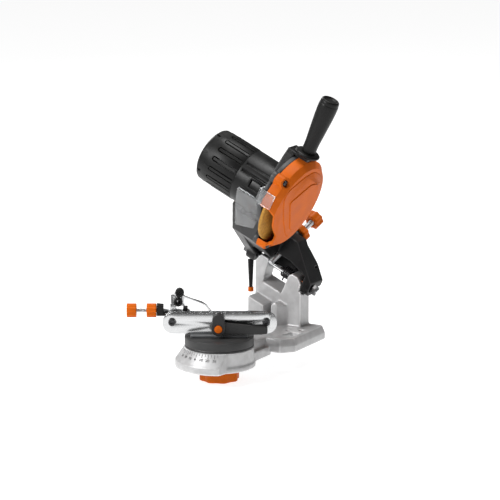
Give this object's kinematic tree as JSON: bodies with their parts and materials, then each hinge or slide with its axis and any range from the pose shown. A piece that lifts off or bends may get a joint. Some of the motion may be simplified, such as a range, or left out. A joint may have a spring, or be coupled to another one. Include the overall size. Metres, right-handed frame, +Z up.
{
  "type": "bench chainsaw sharpener",
  "caption": "Electric saw chain sharpener: cast bench base, turning chain vice with stop, and a sprung motor head with a thin grinding wheel, guard, visor and grip.",
  "frame": {"origin": "centre of the base plate's underside, where it rests on the bench, midway across and 120 mm behind the turntable's axis", "axes": "+Z up from the bench, -Y to the front where the vice overhangs the bench's edge, +X to the right seen from the front"},
  "size_m": [0.2582, 0.284, 0.382],
  "materials": {
    "cast_aluminium": "satin",
    "dark_casting": "satin",
    "grey_casting": "satin",
    "black_plastic": "satin",
    "orange_plastic": "satin",
    "polished_steel": "polished",
    "chrome": "polished",
    "steel": "satin",
    "dark_steel": "satin",
    "copper": "satin",
    "carbon": "matte",
    "grinding_stone": "matte",
    "clear_sheet": "gloss"
  },
  "bodies": {
    "base": {"base_casting": "cast_aluminium", "turntable_washer": "steel", "hinge_rod": "chrome", "hinge_nut_left": "steel", "hinge_nut_right": "steel", "return_spring": "dark_steel"},
    "turntable": {"turntable_disc": "black_plastic", "pivot_bolt": "steel", "vice_foot": "grey_casting", "rear_jaw": "polished_steel", "guide_bolt_left": "dark_steel", "guide_bolt_right": "dark_steel", "clamp_bolt": "steel", "spread_spring": "steel", "stop_holder": "black_plastic"},
    "table_knob": {"turntable_knob": "orange_plastic"},
    "moving_jaw": {"front_jaw": "polished_steel"},
    "lever": {"clamp_lever": "black_plastic", "clamp_lever_cap": "orange_plastic"},
    "stop_spindle": {"stop_screw": "chrome", "stop_screw_knob": "orange_plastic"},
    "stop_lock": {"stop_lock_knob": "orange_plastic"},
    "carriage": {"stop_carriage": "polished_steel"},
    "chain_pawl": {"pawl": "polished_steel", "pawl_knob_upper": "black_plastic", "pawl_knob_lower": "black_plastic"},
    "head": {"swing_arm": "dark_casting", "lead_protector": "black_plastic", "lead_collar": "orange_plastic", "guard_backplate": "dark_casting", "wheel_cover": "orange_plastic", "cover_screw_1": "steel", "cover_screw_2": "steel", "cover_screw_3": "steel", "visor": "clear_sheet", "motor_front_housing": "black_plastic", "motor_rear_cap": "black_plastic", "stator_core": "steel", "field_coil_upper": "copper", "field_coil_lower": "copper", "brush_holder_front": "carbon", "brush_holder_back": "carbon", "bearing_front": "steel", "bearing_rear": "steel", "switch_body": "black_plastic", "handle_bracket": "dark_casting", "handle_collar": "black_plastic", "handle_grip": "black_plastic"},
    "rotor": {"motor_shaft": "steel", "armature": "dark_steel", "commutator": "copper", "cooling_fan": "black_plastic", "wheel_flange_inner": "steel", "grinding_wheel": "grinding_stone", "wheel_flange_outer": "steel", "wheel_nut": "steel"},
    "power_rocker": {"switch_rocker": "black_plastic"},
    "depth_stop": {"depth_screw": "chrome"},
    "depth_stop_knob": {"depth_knob": "orange_plastic"},
    "depth_lock": {"depth_lock_knob": "orange_plastic"}
  },
  "joints": [
    {"name": "vice_turn", "type": "hinge", "parent": "base", "child": "turntable", "pos_m": [0, -0.12, 0.0193], "axis": [0, 0, 1], "range_deg": [-60, 5]},
    {"name": "table_knob_turn", "type": "hinge", "parent": "base", "child": "table_knob", "pos_m": [0, -0.12, -0.018], "axis": [0, 0, 1], "range_deg": [-180, 360]},
    {"name": "lever_turn", "type": "hinge", "parent": "turntable", "child": "lever", "pos_m": [0.00413, -0.12916, 0.046], "axis": [0.5, -0.866, 0], "range_deg": [0, 35]},
    {"name": "jaw_slide", "type": "slide", "parent": "turntable", "child": "moving_jaw", "axis": [-0.5, 0.866, 0], "range_m": [0, 0.0028], "deforming": ["spread_spring"]},
    {"name": "stop_screw_turn", "type": "hinge", "parent": "turntable", "child": "stop_spindle", "pos_m": [-0.08419, -0.15418, 0.064], "axis": [0.866, 0.5, 0], "range_deg": [-2520, 720]},
    {"name": "carriage_slide", "type": "slide", "parent": "turntable", "child": "carriage", "axis": [0.866, 0.5, 0], "range_m": [-0.0056, 0.0016]},
    {"name": "stop_lock_turn", "type": "hinge", "parent": "turntable", "child": "stop_lock", "pos_m": [-0.08419, -0.15418, 0.064], "axis": [0.866, 0.5, 0], "range_deg": [-360, 360]},
    {"name": "pawl_flip", "type": "hinge", "parent": "carriage", "child": "chain_pawl", "pos_m": [-0.04577, -0.14873, 0.081], "axis": [0.5, -0.866, 0], "range_deg": [0, 12]},
    {"name": "head_swing", "type": "hinge", "parent": "base", "child": "head", "pos_m": [0.0112, 0.0308, 0.0938], "axis": [0.9063, 0, -0.4226], "range_deg": [0, 44], "stiffness_Nm_per_rad": 2, "springref_deg": -48.7, "deforming": ["return_spring"]},
    {"name": "rotor_spin", "type": "hinge", "parent": "head", "child": "rotor", "pos_m": [0.06551, -0.0547, 0.21026], "axis": [0.9063, 0, -0.4226], "continuous": true},
    {"name": "switch_rock", "type": "hinge", "parent": "head", "child": "power_rocker", "pos_m": [0.03886, -0.08768, 0.23593], "axis": [0.3971, 0.342, 0.8517], "range_deg": [0, 12]},
    {"name": "depth_screw_slide", "type": "slide", "parent": "head", "child": "depth_stop", "axis": [-0.224, -0.848, -0.4803], "range_m": [0, 0.0175]},
    {"name": "depth_knob_turn", "type": "hinge", "parent": "depth_stop", "child": "depth_stop_knob", "pos_m": [0.00387, 0.0108, 0.10648], "axis": [-0.224, -0.848, -0.4803], "range_deg": [0, 5400]},
    {"name": "depth_lock_turn", "type": "hinge", "parent": "head", "child": "depth_lock", "pos_m": [0.00387, 0.0108, 0.10648], "axis": [-0.224, -0.848, -0.4803], "range_deg": [-360, 360]}
  ],
  "couplings": [
    {"joint": "lever_turn", "follows": "jaw_slide", "rad_per_m": 218.17},
    {"joint": "stop_screw_turn", "follows": "carriage_slide", "rad_per_m": 7854},
    {"joint": "depth_knob_turn", "follows": "depth_screw_slide", "rad_per_m": 5026.5}
  ]
}
